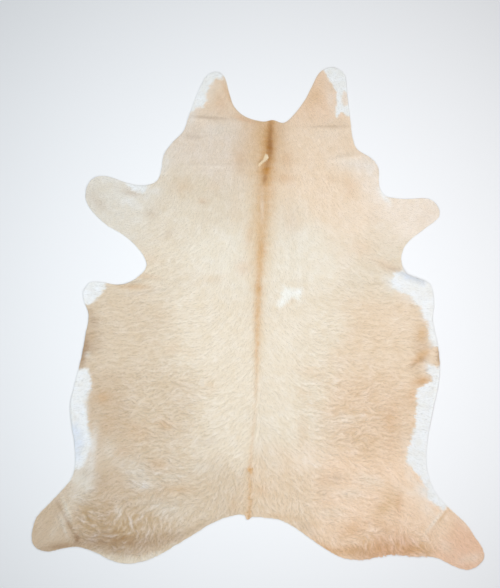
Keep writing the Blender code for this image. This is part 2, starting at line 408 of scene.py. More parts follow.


# The markings
# Smaller clouds, flecks and streaks in the coat, each an oval of hair of another shade that fades out.
# Some are painted light, not the hair's colour: painted shadows and highlights of the folds and wrinkles,
# and painted shade in the puckers, under the right armpit's curl and beside the scar.
Marking = namedtuple("Marking", "part shade x y half_length half_width turn strength")
MARKINGS = (
    Marking("left flap's bluish inner half", "pebble", -0.225, 1.083, 0.053, 0.029, 75, 0.30),
    Marking("left flap, warm base", "amber", -0.176, 1.028, 0.053, 0.038, 90, 0.23),
    Marking("left flap, brown rim", "amber", -0.128, 1.050, 0.090, 0.012, -63, 0.36),
    # painted shadow of the crease across the left flap's base
    Marking("left flap, painted shadow of its crease", "umber", -0.220, 0.959, 0.090, 0.007, -3, 0.40),
    Marking("left flap, pale rim", "milk", -0.321, 0.968, 0.057, 0.024, 65, 0.35),
    Marking("left of the neck, pale cheek", "pebble", -0.192, 0.901, 0.077, 0.029, 0, 0.35),
    Marking("left of the neck, small shadow", "umber", -0.316, 0.863, 0.033, 0.019, 15, 0.18),
    Marking("left of the dark line, rust", "amber", -0.086, 0.758, 0.062, 0.043, 90, 0.17),
    Marking("rim of the notch, left", "amber", -0.058, 0.952, 0.067, 0.014, -16, 0.32),
    Marking("left of the neck, pale rim", "milk", -0.445, 0.753, 0.077, 0.029, 75, 0.40),
    Marking("left shoulder, pale rim", "milk", -0.498, 0.605, 0.053, 0.038, 20, 0.34),
    Marking("left shoulder, warm smudge", "ginger", -0.359, 0.633, 0.053, 0.038, 0, 0.25),
    Marking("withers, warm fleck", "ginger", -0.263, 0.566, 0.029, 0.019, 0, 0.25),
    Marking("withers, warm smudge", "ginger", -0.211, 0.633, 0.043, 0.033, 0, 0.18),
    Marking("withers, warm streak", "ginger", -0.110, 0.519, 0.072, 0.033, 90, 0.18),
    Marking("left shoulder, pale cloud", "cream", -0.354, 0.475, 0.086, 0.057, -30, 0.50),
    Marking("left shoulder, pale cloud below", "cream", -0.421, 0.332, 0.053, 0.038, 0, 0.35),
    Marking("left foreleg, pale top", "milk", -0.699, 0.662, 0.096, 0.019, -8, 0.35),
    Marking("left foreleg, brown end", "umber", -0.785, 0.576, 0.048, 0.033, -60, 0.14),
    Marking("left foreleg, brown under the white", "umber", -0.608, 0.600, 0.042, 0.015, -12, 0.32),
    Marking("left foreleg, brown smudge", "umber", -0.750, 0.543, 0.040, 0.022, -50, 0.18),
    Marking("left foreleg, pale middle", "milk", -0.608, 0.557, 0.057, 0.029, -35, 0.30),
    Marking("left foreleg, cool back", "pebble", -0.551, 0.394, 0.057, 0.038, -45, 0.40),
    Marking("left shoulder, brown fleck", "umber", -0.431, 0.404, 0.028, 0.016, 30, 0.20),
    Marking("withers, small dark fleck", "umber", -0.263, 0.557, 0.014, 0.008, 0, 0.35),
    Marking("left foreleg, brown root", "umber", -0.508, 0.502, 0.030, 0.026, 0, 0.22),
    Marking("left of the back, amber streak", "amber", -0.043, 0.389, 0.048, 0.019, 80, 0.18),
    Marking("left of the back, amber smudge", "amber", -0.072, 0.241, 0.038, 0.038, 0, 0.22),
    Marking("left armpit, upper shade", "ginger", -0.512, 0.284, 0.048, 0.029, -20, 0.18),
    # painted shade along two of the left armpit's wrinkles and a painted highlight on a third
    Marking("left armpit, painted shade of the first wrinkle", "amber", -0.536, 0.203, 0.067, 0.014, -8, 0.20),
    Marking("left armpit, painted shade of the second wrinkle", "amber", -0.598, 0.153, 0.077, 0.014, -3, 0.30),
    Marking("left armpit, painted highlight of a wrinkle", "shell", -0.541, 0.126, 0.077, 0.014, 8, 0.30),
    Marking("withers, left warm streaks", "ginger", -0.211, 0.193, 0.067, 0.024, 0, 0.15),
    Marking("right of the dark line, rust", "amber", 0.135, 0.762, 0.043, 0.033, 90, 0.24),
    Marking("right of the dark line, rust below", "amber", 0.129, 0.672, 0.043, 0.029, 0, 0.28),
    Marking("rim of the notch, right", "amber", 0.188, 1.035, 0.124, 0.016, 52, 0.30),
    Marking("right flap, inner shade", "gold", 0.270, 1.060, 0.060, 0.033, 60, 0.30),
    Marking("right flap, pale border", "shell", 0.349, 1.050, 0.096, 0.024, -80, 0.50),
    # painted shadow of the crease across the right flap
    Marking("right flap, painted shadow of its crease", "umber", 0.356, 0.919, 0.086, 0.007, 0, 0.50),
    Marking("right of the neck, pale cheek", "shell", 0.320, 0.877, 0.081, 0.029, 0, 0.35),
    Marking("right of the neck, pale shoulder", "milk", 0.445, 0.743, 0.086, 0.038, -5, 0.35),
    Marking("right of the neck, pale rim", "milk", 0.536, 0.729, 0.038, 0.053, 0, 0.35),
    Marking("right shoulder, amber smudge", "amber", 0.440, 0.629, 0.053, 0.029, 105, 0.17),
    Marking("right shoulder, warm fleck", "ginger", 0.359, 0.662, 0.038, 0.024, 0, 0.16),
    Marking("right shoulder, pale cloud", "shell", 0.440, 0.471, 0.072, 0.062, 60, 0.45),
    Marking("right of the withers, amber cloud", "amber", 0.158, 0.461, 0.062, 0.048, 90, 0.15),
    Marking("right of the withers, warm cloud", "ginger", 0.143, 0.552, 0.038, 0.038, 0, 0.15),
    Marking("right shoulder, small shade", "umber", 0.545, 0.480, 0.029, 0.024, 0, 0.10),
    Marking("right armpit, rose cloud", "rose", 0.493, 0.337, 0.067, 0.053, 0, 0.40),
    Marking("right armpit, amber streak", "amber", 0.612, 0.255, 0.067, 0.024, -25, 0.20),
    Marking("right armpit, brown edge", "sepia", 0.650, 0.234, 0.035, 0.012, -20, 0.28),
    Marking("right armpit, white end", "milk", 0.636, 0.169, 0.043, 0.029, -60, 0.60),
    # painted shadow under the right armpit's curl
    Marking("right armpit, painted shadow of the curl", "bark", 0.718, 0.184, 0.043, 0.017, -10, 0.40),
    Marking("right foreleg, white corner", "lit_white", 0.601, 0.588, 0.046, 0.015, -52, 0.80),
    Marking("right foreleg, shade", "umber", 0.799, 0.485, 0.067, 0.033, 40, 0.10),
    Marking("right side, shell streak", "shell", 0.416, 0.255, 0.072, 0.038, 90, 0.25),
    Marking("left edge, its brown side", "umber", -0.770, -0.090, 0.120, 0.035, 85, 0.14),
    Marking("left edge, brown under the knob", "sepia", -0.803, 0.030, 0.026, 0.020, 90, 0.30),
    Marking("left edge, brown fleck", "sepia", -0.780, -0.017, 0.024, 0.024, 0, 0.25),
    Marking("left edge, warm fleck", "ginger", -0.804, -0.080, 0.024, 0.024, 0, 0.20),
    Marking("left edge, brown fleck below", "sepia", -0.799, -0.142, 0.033, 0.019, -10, 0.25),
    Marking("left edge, brown strip", "sepia", -0.836, -0.178, 0.088, 0.019, 76, 0.66),
    Marking("left edge, grey fleck in the strip", "pebble", -0.812, -0.173, 0.014, 0.012, 0, 0.60),
    Marking("left belly, amber spot", "amber", -0.740, -0.380, 0.038, 0.033, 0, 0.28),
    Marking("left belly, reddish cloud", "amber", -0.713, -0.506, 0.048, 0.038, 90, 0.12),
    Marking("left side, shade", "ginger", -0.407, -0.142, 0.038, 0.033, 0, 0.20),
    Marking("left side, shade beside it", "ginger", -0.326, -0.161, 0.038, 0.024, 0, 0.12),
    Marking("left of the spine, shade", "ginger", -0.220, -0.324, 0.043, 0.033, 90, 0.18),
    Marking("left loin, pale cloud", "shell", -0.307, -0.348, 0.053, 0.033, 0, 0.18),
    Marking("left loin, amber bar", "amber", -0.445, -0.506, 0.048, 0.029, -20, 0.20),
    Marking("left loin, amber cloud", "amber", -0.565, -0.544, 0.062, 0.043, -10, 0.20),
    Marking("left flank, pale border", "milk", -0.790, -0.610, 0.095, 0.022, 82, 0.62),
    Marking("left flank, pale border above", "milk", -0.823, -0.400, 0.096, 0.017, 88, 0.60),
    Marking("left belly, pale cloud", "pebble", -0.709, -0.630, 0.057, 0.048, 90, 0.45),
    Marking("left haunch, pale cloud", "pebble", -0.565, -0.745, 0.081, 0.057, -25, 0.60),
    Marking("left haunch, pale cloud above", "pebble", -0.632, -0.690, 0.060, 0.040, 0, 0.26),
    Marking("left haunch, pale cloud below", "pebble", -0.540, -0.800, 0.070, 0.026, 0, 0.38),
    Marking("left haunch, brown fleck", "amber", -0.479, -0.700, 0.045, 0.029, 0, 0.18),
    Marking("left haunch, rust cloud", "umber", -0.742, -0.783, 0.040, 0.034, 0, 0.26),
    Marking("left belly, amber cloud below", "amber", -0.651, -0.632, 0.050, 0.028, 0, 0.12),
    Marking("left haunch, pale bar", "pebble", -0.431, -0.759, 0.067, 0.024, 0, 0.40),
    Marking("left of the rump, pale bar", "pebble", -0.263, -0.711, 0.086, 0.033, 0, 0.38),
    Marking("left of the rump, warm bar", "ginger", -0.369, -0.821, 0.072, 0.020, 0, 0.32),
    Marking("left haunch, pale swirl", "pebble", -0.460, -0.903, 0.115, 0.042, -10, 0.48),
    Marking("left haunch, pale fleck", "pebble", -0.665, -0.927, 0.038, 0.024, 90, 0.30),
    Marking("left haunch, brown cloud", "sepia", -0.728, -0.951, 0.062, 0.033, 90, 0.16),
    Marking("left waist, rust", "umber", -0.823, -0.735, 0.057, 0.038, -15, 0.20),
    Marking("left of the spine, shade below", "umber", -0.240, -0.587, 0.067, 0.038, 20, 0.14),
    Marking("left of the line, rust", "amber", -0.120, -0.893, 0.048, 0.033, 90, 0.14),
    Marking("beside the tail, rust", "amber", 0.019, -0.821, 0.029, 0.029, 0, 0.16),
    Marking("left hind leg, pale root of its front", "cream", -0.905, -0.905, 0.050, 0.032, 45, 0.34),
    # painted highlight and painted shadow of the left hind leg's fold and its ends, and of two fainter folds
    Marking("left hind leg, painted highlight on its fold", "cream", -0.914, -0.908, 0.055, 0.011, -69, 0.75),
    Marking("left hind leg, painted shadow of its fold", "sepia", -0.911, -0.972, 0.085, 0.008, -62, 0.62),
    Marking("left hind leg, painted shadow at the fold's upper end", "umber", -0.952, -0.893, 0.022, 0.012, -62, 0.50),
    Marking("left hind leg, painted shadow at the fold's lower end", "sepia", -0.866, -1.052, 0.022, 0.014, 90, 0.70),
    Marking("left hind leg, painted shadow of a faint fold", "umber", -0.948, -0.975, 0.060, 0.009, -70, 0.35),
    Marking("left hind leg, painted highlight of a faint fold", "pebble", -0.925, -1.010, 0.050, 0.009, -70, 0.40),
    Marking("left hind leg, pale mottle", "cream", -0.932, -0.960, 0.050, 0.026, 60, 0.42),
    Marking("left hind leg, pale front", "pebble", -0.996, -0.855, 0.077, 0.024, 45, 0.45),
    Marking("left hind leg, pale root", "pebble", -0.870, -0.850, 0.062, 0.042, 0, 0.50),
    Marking("left hind leg, dark bottom", "sepia", -0.945, -1.090, 0.095, 0.017, 8, 0.60),
    Marking("left hind leg, cool middle", "pebble", -0.981, -1.022, 0.043, 0.019, 80, 0.25),
    Marking("dark band, left", "sepia", -0.760, -1.060, 0.105, 0.036, 3, 0.36),
    Marking("dark band, middle", "sepia", -0.590, -1.072, 0.115, 0.036, 0, 0.38),
    Marking("dark band, right", "sepia", -0.430, -1.048, 0.090, 0.034, 12, 0.33),
    Marking("left of the rump, brown rim", "sepia", -0.278, -0.999, 0.105, 0.014, 25, 0.18),
    Marking("white spot, tan rim", "ginger", 0.148, 0.093, 0.057, 0.019, 35, 0.35),
    Marking("right of the back, warm bar", "ginger", 0.253, -0.257, 0.077, 0.033, -15, 0.24),
    Marking("right of the back, warm fleck", "ginger", 0.215, -0.352, 0.033, 0.029, 0, 0.20),
    Marking("right of the back, warm streak", "ginger", 0.330, -0.324, 0.033, 0.019, -50, 0.15),
    Marking("right loin, amber streak", "amber", 0.215, -0.534, 0.077, 0.029, 90, 0.14),
    Marking("right loin, amber fleck", "ginger", 0.249, -0.415, 0.043, 0.019, 0, 0.15),
    Marking("right of the back, pale streak", "cream", 0.105, -0.161, 0.043, 0.033, 90, 0.28),
    Marking("right of the spine, pale streak", "cream", 0.048, -0.400, 0.067, 0.024, 90, 0.20),
    Marking("right side, pale cloud", "cream", 0.416, -0.017, 0.043, 0.043, 0, 0.25),
    Marking("right flank, pale border", "milk", 0.718, 0.093, 0.043, 0.024, -30, 0.30),
    Marking("right flank, pale border below", "milk", 0.785, 0.011, 0.057, 0.014, -65, 0.30),
    Marking("right flank, pale rim", "milk", 0.823, -0.113, 0.048, 0.017, 95, 0.50),
    Marking("right flank, pale rim below", "milk", 0.813, -0.242, 0.043, 0.019, 100, 0.50),
    Marking("right side, shell cloud", "shell", 0.675, -0.008, 0.048, 0.033, 0, 0.30),
    Marking("right flank, brown side", "umber", 0.785, -0.090, 0.110, 0.038, 82, 0.17),
    Marking("upper pucker, its head", "ginger", 0.780, -0.075, 0.038, 0.024, 75, 0.60),
    # Along the puckers: the hair's own brown with painted shade in their folds, darker at their feet, their
    # ends and the edge between them.
    Marking("upper pucker, painted shade", "amber", 0.768, -0.193, 0.044, 0.018, 40, 0.50),
    Marking("upper pucker, dark foot", "sepia", 0.743, -0.221, 0.024, 0.009, 42, 0.36),
    Marking("upper pucker, warm ridge", "ginger", 0.790, -0.165, 0.043, 0.017, 25, 0.50),
    Marking("between the puckers, dark edge", "sepia", 0.862, -0.175, 0.045, 0.009, 92, 0.70),
    Marking("upper pucker, dark end", "sepia", 0.784, -0.198, 0.020, 0.012, 20, 0.36),
    Marking("lower pucker, dark end", "sepia", 0.784, -0.307, 0.020, 0.013, 0, 0.30),
    Marking("lower pucker, painted shade", "amber", 0.782, -0.298, 0.042, 0.020, 8, 0.50),
    Marking("lower pucker, its foot", "amber", 0.736, -0.364, 0.038, 0.019, 80, 0.30),
    Marking("right belly, amber strip", "amber", 0.631, -0.486, 0.072, 0.038, 90, 0.23),
    Marking("right belly, amber spot", "amber", 0.636, -0.606, 0.033, 0.029, 0, 0.14),
    Marking("right loin, pale arc", "cream", 0.421, -0.482, 0.086, 0.033, 10, 0.30),
    Marking("right loin, warm cloud", "ginger", 0.541, -0.606, 0.067, 0.048, 100, 0.24),
    Marking("right of the spine, shell cloud", "shell", 0.238, -0.684, 0.085, 0.060, 0, 0.46),
    Marking("right of the spine, pale cloud", "pebble", 0.062, -0.678, 0.067, 0.038, 90, 0.25),
    Marking("right haunch, umber fleck", "umber", 0.373, -0.764, 0.038, 0.024, 0, 0.32),
    Marking("right haunch, amber fleck", "amber", 0.320, -0.778, 0.029, 0.029, 0, 0.16),
    Marking("right haunch, umber streak", "umber", 0.311, -0.831, 0.038, 0.024, 90, 0.15),
    Marking("right haunch, pale bar", "pebble", 0.440, -0.836, 0.072, 0.033, 0, 0.35),
    Marking("right haunch, oat cloud", "oat", 0.349, -0.927, 0.072, 0.038, 0, 0.35),
    Marking("right haunch, oat bar", "oat", 0.531, -0.774, 0.081, 0.033, -15, 0.45),
    Marking("right belly, pale border", "shell", 0.713, -0.640, 0.110, 0.022, 95, 0.42),
    Marking("right waist, white fringe", "shell", 0.745, -0.780, 0.080, 0.018, -58, 0.35),
    Marking("right waist, white foot", "milk", 0.799, -0.826, 0.043, 0.033, -50, 0.70),
    Marking("right waist, pale cloud", "shell", 0.679, -0.821, 0.043, 0.038, 0, 0.30),
    Marking("right hind leg, pale root", "shell", 0.809, -0.912, 0.062, 0.033, -45, 0.50),
    Marking("right haunch, pale cloud by the waist", "shell", 0.742, -0.834, 0.034, 0.022, -20, 0.50),
    Marking("right haunch, dark cloud", "ginger", 0.641, -0.850, 0.048, 0.038, -60, 0.45),
    Marking("right haunch, dark cloud right", "amber", 0.672, -0.890, 0.070, 0.020, 85, 0.28),
    Marking("right haunch, dark cloud left", "ginger", 0.600, -0.910, 0.055, 0.035, 40, 0.58),
    Marking("right haunch, dark cloud below", "amber", 0.590, -0.985, 0.067, 0.024, -10, 0.16),
    Marking("right haunch, amber cloud", "amber", 0.450, -1.008, 0.062, 0.038, 30, 0.34),
    Marking("right haunch's rim, amber", "amber", 0.440, -1.112, 0.129, 0.026, 0, 0.46),
    Marking("right haunch's rim, brown", "sepia", 0.490, -1.112, 0.050, 0.020, 0, 0.22),
    Marking("right haunch's edge, amber", "amber", 0.298, -1.086, 0.105, 0.019, -30, 0.34),
    Marking("right haunch's rim, its far end", "sepia", 0.800, -1.123, 0.045, 0.018, 0, 0.18),
    Marking("right of the rump, brown edge", "sepia", 0.235, -1.003, 0.060, 0.018, -38, 0.18),
    Marking("right of the rump, warm rim", "ginger", 0.119, -0.946, 0.105, 0.014, -8, 0.25),
    Marking("right haunch's rim, middle", "amber", 0.630, -1.104, 0.105, 0.024, 0, 0.16),
    Marking("right haunch's rim, far brown", "amber", 0.755, -1.108, 0.075, 0.024, 0, 0.34),
    Marking("right haunch's rim, far cloud", "amber", 0.813, -1.050, 0.043, 0.038, 0, 0.14),
    # painted shadow and painted highlight of the right hind leg's fold
    Marking("right hind leg, painted shadow of its fold", "ginger", 0.873, -0.953, 0.050, 0.006, 49, 0.75),
    Marking("right hind leg, painted highlight on its fold", "shell", 0.848, -0.965, 0.075, 0.009, 52, 0.80),
    Marking("right hind leg, pale back", "shell", 0.899, -1.094, 0.043, 0.029, -40, 0.40),
    Marking("right hind leg, pale end", "shell", 1.019, -1.147, 0.067, 0.024, 10, 0.45),
    Marking("right hind leg, pale front", "shell", 0.981, -0.975, 0.062, 0.024, -50, 0.35),
    Marking("core of the line, neck", "chestnut", 0.059, 0.892, 0.057, 0.012, 88, 0.50),
    Marking("core of the line, middle", "chestnut", 0.057, 0.825, 0.043, 0.015, 92, 0.62),
    # painted shadow beside the raised scar
    Marking("painted shadow beside the scar", "chestnut", 0.012, 0.753, 0.016, 0.005, 40, 0.45),
    Marking("core of the line, beside the scar", "chestnut", 0.046, 0.763, 0.043, 0.015, 78, 0.40),
    Marking("core of the line, below the scar", "chestnut", 0.036, 0.710, 0.040, 0.013, 70, 0.16),
    Marking("core of the line, its tip", "chestnut", 0.032, 0.667, 0.026, 0.010, 75, 0.42),
    Marking("pale parting in the line", "shell", 0.020, 0.533, 0.057, 0.009, 90, 0.45),
)


def marking_share(marking, places):
    """How much of the hair at each place takes the marking's shade."""
    offset = places - (marking.x, marking.y)
    turn = math.radians(marking.turn)
    along = (offset[..., 0] * math.cos(turn) + offset[..., 1] * math.sin(turn)) / marking.half_length
    across = (offset[..., 1] * math.cos(turn) - offset[..., 0] * math.sin(turn)) / marking.half_width
    return marking.strength * np.exp(-(along**2) - across**2)


def coat_colour(places):
    """The colour of the hair that grows at each place."""
    colour = ground_colour(places)
    line, band = spine_share(places)
    colour += band[..., None] * (linear("gold") - colour)
    colour += line[..., None] * (linear("amber") - colour)
    for marking in MARKINGS:
        colour += marking_share(marking, places)[..., None] * (linear(marking.shade) - colour)
    for patch in PATCHES:
        colour += patch_share(patch, places)[..., None] * (linear(patch.shade) - colour)
    return colour


# The lay of the hair
# Hair grows from the head to the tail and out to the legs, short on the neck and the legs, longer and in
# waves on the flanks and haunches. The right side is listed; the left side is its mirror image.
Flow = namedtuple("Flow", "part x y out down length wave")
FLOWS = (
    Flow("poll", 0.02, 0.92, 0.1, 1.0, 0.011, 0.20),
    Flow("neck", 0.25, 0.84, 0.5, 1.0, 0.012, 0.20),
    Flow("flap of the head", 0.33, 1.10, 0.9, 0.5, 0.011, 0.15),
    Flow("shoulder", 0.35, 0.58, 0.7, 1.0, 0.013, 0.25),
    Flow("foreleg", 0.75, 0.50, 1.0, 0.1, 0.011, 0.15),
    Flow("withers", 0.05, 0.55, 0.1, 1.0, 0.013, 0.20),
    Flow("back of the shoulder", 0.45, 0.26, 1.0, 0.6, 0.015, 0.40),
    Flow("back", 0.06, 0.20, 0.3, 1.0, 0.015, 0.30),
    Flow("side", 0.42, -0.02, 1.0, 0.12, 0.017, 0.70),
    Flow("flank", 0.72, -0.05, 1.0, 0.05, 0.019, 0.60),
    Flow("saddle", 0.06, -0.15, 0.7, 0.8, 0.017, 0.40),
    Flow("loin", 0.40, -0.38, 1.0, 0.10, 0.018, 1.00),
    Flow("belly", 0.76, -0.40, 1.0, 0.10, 0.018, 0.70),
    Flow("croup", 0.06, -0.55, 0.8, 0.7, 0.018, 0.60),
    Flow("haunch", 0.45, -0.80, 1.0, 0.25, 0.018, 1.00),
    Flow("rump", 0.05, -0.88, 0.4, 1.0, 0.016, 1.20),
    Flow("rim of the haunch", 0.48, -1.08, 0.7, 0.8, 0.016, 1.10),
    Flow("waist", 0.80, -0.72, 0.8, 0.6, 0.016, 0.50),
    Flow("hind leg", 0.95, -1.03, 0.9, 0.8, 0.012, 0.60),
)
FLOW_REACH = 0.16
PARTING = 0.03  # on each side of the spine, where the hair turns outwards
WAVE_TURN = math.radians(42)  # how far the hair swings in its waves where wave is 1
SLEEKEST = 0.1  # no hair has less of a wave than this
WAVIEST = 1.6  # past this a stronger wave is only darker between its wisps
STREAK_REACH = 0.014  # half the length of a wisp
SLOPE_RUN = 0.01  # the slope of the wisps is how much they rise over this
Swirl = namedtuple("Swirl", "part x y reach heading wave")
SWIRLS = (  # each turns the hair to its heading, in degrees from +X, and adds to its waves
    Swirl("left haunch, outer curls", -0.785, -0.925, 0.080, 160, 4.2),
    Swirl("left haunch, long curls", -0.625, -0.990, 0.085, 284, 5.6),
    Swirl("left haunch, curls over the root of the leg", -0.790, -1.010, 0.065, 170, 6.0),
    Swirl("left haunch, curls along the dark band", -0.660, -1.060, 0.055, 185, 5.0),
    Swirl("left haunch, straight curls", -0.480, -0.970, 0.080, 262, 2.6),
    Swirl("left haunch, upper waves", -0.520, -0.740, 0.140, 182, 0.8),
    Swirl("left haunch, sleek lip", -0.630, -1.160, 0.040, 262, -1.8),
    Swirl("left loin, waves", -0.520, -0.450, 0.180, 182, 0.6),
    Swirl("right haunch, level waves", 0.480, -0.850, 0.160, 355, -0.1),
    Swirl("right haunch, curls of the rim", 0.650, -1.090, 0.060, 300, 4.6),
    Swirl("right haunch, curls beside them", 0.520, -1.095, 0.060, 285, 3.8),
    Swirl("right haunch, curls at the root of the leg", 0.770, -1.085, 0.055, 310, 3.8),
    Swirl("right loin, waves", 0.500, -0.480, 0.180, 2, 1.0),
)


def unit(arrow):
    """The arrow at a length of 1."""
    return arrow / np.linalg.norm(arrow, axis=-1, keepdims=True)


def left_of(arrow):
    """An arrow that points straight to its left."""
    return np.stack([-arrow[..., 1], arrow[..., 0]], axis=-1)


def turned(arrow, angle):
    """The arrow turned to its left by an angle."""
    return arrow * np.cos(angle)[..., None] + left_of(arrow) * np.sin(angle)[..., None]


def flow_at(places):
    """The lay at each place as a unit arrow, with the hair's length in metres and its share of waves."""
    side = np.where(places[..., 0] < 0, -1.0, 1.0)
    mirrored = np.stack([np.abs(places[..., 0]), places[..., 1]], axis=-1)
    weights = np.zeros(places.shape[:-1])
    mixed = np.zeros(places.shape[:-1] + (4,))
    for flow in FLOWS:
        weight = nearness(mirrored, flow, FLOW_REACH)
        steepness = math.hypot(flow.out, flow.down)
        row = np.array([flow.out / steepness, -flow.down / steepness, flow.length, flow.wave])
        mixed += weight[..., None] * row
        weights += weight
    mixed /= weights[..., None]
    parted = eased(np.abs(places[..., 0]) / PARTING)
    arrow = np.stack([mixed[..., 0] * side * parted, mixed[..., 1]], axis=-1)
    wave = mixed[..., 3]
    for swirl in SWIRLS:
        share = np.exp(-((places - (swirl.x, swirl.y)) ** 2).sum(-1) / swirl.reach**2)
        heading = math.radians(swirl.heading)
        arrow += share[..., None] * (np.array([math.cos(heading), math.sin(heading)]) - arrow)
        wave = wave + share * swirl.wave
    wave = np.maximum(wave, SLEEKEST)
    gusts = 0.4 * clouds(places, 0.085, 41) + 0.45 * clouds(places, 0.035, 42)
    gusts += 0.6 * clouds(places, 0.015, 43)
    swing = WAVE_TURN * np.minimum(wave, WAVIEST) * gusts
    return unit(turned(arrow, swing)), mixed[..., 2], wave


def combed(chart, lay):
    """A chart smeared along the lay of the hair, which turns its specks into wisps."""
    total = chart.copy()
    count = 1
    for way in (-1, 1):
        at = chart_places.copy()
        for _ in range(round(STREAK_REACH / CHART_PITCH)):
            at = at + way * CHART_PITCH * read_chart(lay, at)
            total += read_chart(chart, at)
            count += 1
    return total / count


lay, *_ = flow_at(chart_places)
specks = clouds(chart_places, 0.0070, 51) + 0.45 * clouds(chart_places, 0.014, 52)
wisps = combed(specks, lay)
wisps /= 2 * wisps.std()  # most of them now lie between -1 and 1
wisp_slope = np.stack(np.gradient(wisps, CHART_PITCH)[::-1], axis=-1) * SLOPE_RUN

# The skin
# Chrome-tanned leather with the hair left on: suede below and at the cut edge, the roots of the hair above.
# It lies flat but for the creases it was packed with and the puckers at its armpits and flanks.
SKIN_THICKNESS = 0.0028
SKIN_PITCH = 0.0115
SKIN_CLEAR_OF_EDGE = 0.006
PAINTED_ROOT_SHADE = 0.86  # painted shade: the roots are painted darker than the hair over them, as its shade falls on them
SUEDE_DARK = (0.52, 0.44, 0.35)
SUEDE_PALE = (0.66, 0.58, 0.48)
Crease = namedtuple("Crease", "part start end half_width height")
CREASES = (
    Crease("left hind leg", (-0.948, -0.802), (-0.852, -1.051), 0.022, 0.008),
    Crease("left hind leg, outer", (-0.996, -0.869), (-0.900, -1.018), 0.018, 0.004),
    Crease("right hind leg", (0.919, -0.888), (0.794, -1.051), 0.022, 0.007),
    Crease("left haunch, low swell", (-0.718, -0.879), (-0.297, -0.836), 0.045, 0.004),
    Crease("beside the tail", (-0.091, -0.817), (0.124, -0.831), 0.018, 0.003),
    Crease("right flap of the head", (0.277, 0.932), (0.459, 0.928), 0.015, 0.002),
    Crease("left flap of the head", (-0.364, 0.964), (-0.211, 0.954), 0.018, 0.0015),
    Crease("right of the neck", (0.306, 0.748), (0.517, 0.791), 0.020, 0.003),
    Crease("left of the neck", (-0.393, 0.868), (-0.249, 0.849), 0.026, 0.002),
    Crease("old packing crease", (-0.421, 0.734), (-0.024, 0.731), 0.012, 0.0012),
    Crease("left armpit, upper", (-0.737, 0.136), (-0.479, 0.193), 0.016, 0.006),
    Crease("left armpit, middle", (-0.699, 0.097), (-0.335, 0.145), 0.016, 0.005),
    Crease("left armpit, lower", (-0.689, 0.050), (-0.345, 0.088), 0.018, 0.003),
    Crease("right armpit, curl", (0.651, 0.251), (0.813, 0.164), 0.022, 0.006),
    Crease("right armpit", (0.430, 0.145), (0.670, 0.174), 0.016, 0.003),
    Crease("right flank, upper pucker", (0.689, -0.161), (0.880, -0.108), 0.018, 0.005),
    Crease("right flank, lower pucker", (0.698, -0.266), (0.880, -0.209), 0.018, 0.006),
    Crease("right flank, curl", (0.856, -0.300), (0.804, -0.582), 0.020, 0.004),
    Crease("left flank, upper pucker", (-0.843, 0.002), (-0.737, -0.022), 0.015, 0.004),
    Crease("left flank, middle pucker", (-0.852, -0.089), (-0.742, -0.070), 0.015, 0.004),
    Crease("left flank, lower pucker", (-0.866, -0.175), (-0.756, -0.156), 0.015, 0.004),
    Crease("left flank, curl", (-0.886, -0.333), (-0.881, -0.601), 0.020, 0.005),
)


def skin_lift(places):
    """How high the skin's underside stands off the floor at each place."""
    lift = np.zeros(places.shape[:-1])
    for crease in CREASES:
        start, end = np.array(crease.start), np.array(crease.end)
        length = math.dist(start, end)
        way = (end - start) / length
        offset = places - start
        along = offset @ way / length
        across = np.abs(offset[..., 0] * way[1] - offset[..., 1] * way[0]) / crease.half_width
        ridge = np.sin(math.pi * np.clip(along, 0, 1)) * np.cos(math.pi / 2 * np.clip(across, 0, 1)) ** 2
        lift += crease.height * ridge
    return lift


def skin_places():
    """The corners of a lattice of triangles that fills the skin inside its cut edge."""
    row_height = SKIN_PITCH * math.sqrt(3) / 2
    low, high = cut_edge.min(0), cut_edge.max(0)
    rows = np.arange(low[1], high[1], row_height)
    columns = np.arange(low[0], high[0], SKIN_PITCH)
    x, y = np.meshgrid(columns, rows)
    x[1::2] += SKIN_PITCH / 2
    lattice = np.stack([x, y], axis=-1).reshape(-1, 2)
    return lattice[read_chart(edge_depth, lattice) > SKIN_CLEAR_OF_EDGE]


def skin_surface(name):
    """The underside of the skin as an open surface, with its cut edge first."""
    ring = [Vector(place) for place in cut_edge]
    edges = [(i, (i + 1) % len(ring)) for i in range(len(ring))]
    within_edge = 1  # keep only the triangles that the cut edge encloses
    tolerance = 1e-6
    points = ring + [Vector(place) for place in skin_places()]
    points, _, faces, *_ = geometry.delaunay_2d_cdt(points, edges, [], within_edge, tolerance)
    places = np.array(points)
    mesh = bpy.data.meshes.new(name)
    mesh.from_pydata(np.column_stack([places, skin_lift(places)]).tolist(), [], faces)
    surface = bpy.data.objects.new(name, mesh)
    bpy.context.scene.collection.objects.link(surface)
    return surface


def settled(obj, name):
    """The object with its modifiers made real, as a plain mesh under this name."""
    depsgraph = bpy.context.evaluated_depsgraph_get()
    shown = obj.evaluated_get(depsgraph)
    mesh = bpy.data.meshes.new_from_object(shown, preserve_all_data_layers=True, depsgraph=depsgraph)
    bpy.data.objects.remove(obj)
    mesh.name = name
    plain = bpy.data.objects.new(name, mesh)
    bpy.context.scene.collection.objects.link(plain)
    return plain


def add_colours(mesh, name, colours):
    """One colour a point."""
    layer = mesh.color_attributes.new(name, "FLOAT_COLOR", "POINT")
    rows = np.column_stack([colours, np.ones(len(colours))])
    layer.data.foreach_set("color", rows.astype(np.float32).ravel())


def positions(mesh):
    """The places of a mesh's points, one row each."""
    places = np.empty(len(mesh.vertices) * 3, np.float32)
    mesh.vertices.foreach_get("co", places)
    return places.reshape(-1, 3).astype(float)


def node(tree, kind, inputs=(), **settings):
    """A node of a material or of a geometry tree, with its settings and the values or links of its inputs."""
    made = tree.nodes.new(kind)
    for setting, value in settings.items():
        setattr(made, setting, value)
    for socket, value in dict(inputs).items():
        if isinstance(value, bpy.types.NodeSocket):
            tree.links.new(value, made.inputs[socket])
        else:
            made.inputs[socket].default_value = value
    return made


def new_material(name):
    material = bpy.data.materials.new(name)
    material.use_nodes = True
    tree = material.node_tree
    return material, tree, tree.nodes["Principled BSDF"]


